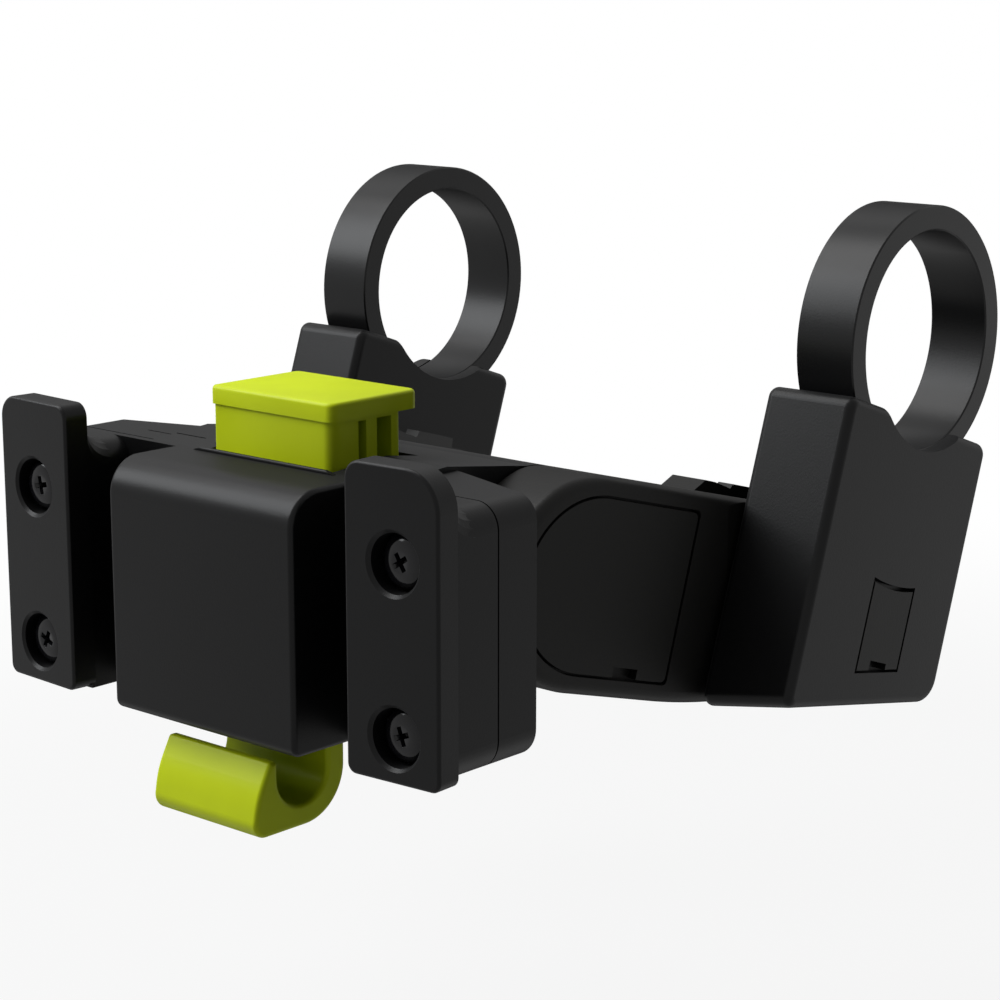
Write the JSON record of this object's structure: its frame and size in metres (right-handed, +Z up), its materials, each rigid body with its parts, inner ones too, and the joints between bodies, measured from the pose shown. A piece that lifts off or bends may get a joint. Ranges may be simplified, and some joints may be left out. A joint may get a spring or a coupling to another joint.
{
  "type": "handlebar bag mount",
  "caption": "Quick-release mount that clamps to a bicycle handlebar with two rings and holds a bag on its front wings and a spring-loaded hook worked by a push button.",
  "frame": {"origin": "on the handlebar's axis, midway between the two clamp rings", "axes": "+X along the handlebar, -Y forward to the bag, +Z up"},
  "size_m": [0.1092, 0.1142, 0.0802],
  "materials": {
    "black_housing": "satin moulded",
    "black_arm": "satin moulded",
    "black_ring": "satin",
    "black_cover": "satin moulded",
    "lime_plastic": "semi-gloss lime",
    "black_screw": "glossy black",
    "zinc_steel": "zinc plated",
    "spring_steel": "bright wire"
  },
  "bodies": {
    "left_clamp": {"left_clamp_block": "black_housing", "left_clamp_ring": "black_ring", "left_strap_screw": "black_screw", "left_block_cover": "black_cover", "left_pivot_bolt": "zinc_steel", "left_pivot_nut": "zinc_steel"},
    "arms": {"left_arm": "black_arm", "right_arm": "black_arm", "left_arm_cover": "black_cover", "right_arm_cover": "black_cover", "tilt_bolt": "zinc_steel", "tilt_nut": "zinc_steel"},
    "right_clamp": {"right_clamp_block": "black_housing", "right_clamp_ring": "black_ring", "right_strap_screw": "black_screw", "right_block_cover": "black_cover", "right_pivot_bolt": "zinc_steel", "right_pivot_nut": "zinc_steel"},
    "body": {"front_shell": "black_housing", "rear_shell": "black_housing", "return_spring": "spring_steel", "shell_screw_1": "black_screw", "shell_screw_2": "black_screw", "shell_screw_3": "black_screw", "shell_screw_4": "black_screw"},
    "slider": {"push_button": "lime_plastic", "release_hook": "lime_plastic"}
  },
  "joints": [
    {"name": "left_clamp_tilt", "type": "hinge", "parent": "left_clamp", "child": "arms", "pos_m": [0, -0.01259, -0.04008], "axis": [1, 0, 0], "range_deg": [-20, 20]},
    {"name": "right_clamp_tilt", "type": "hinge", "parent": "arms", "child": "right_clamp", "pos_m": [0, -0.01259, -0.04008], "axis": [1, 0, 0], "range_deg": [-20, 20]},
    {"name": "body_tilt", "type": "hinge", "parent": "arms", "child": "body", "pos_m": [0, -0.05507, -0.02902], "axis": [1, 0, 0], "range_deg": [-30, 30]},
    {"name": "release", "type": "slide", "parent": "body", "child": "slider", "axis": [0, 0, -1], "range_m": [0, 0.0055], "stiffness_N_per_m": 900, "springref_m": -0.003, "deforming": ["return_spring"]}
  ],
  "couplings": [
    {"joint": "right_clamp_tilt", "follows": "left_clamp_tilt", "ratio": -1}
  ]
}
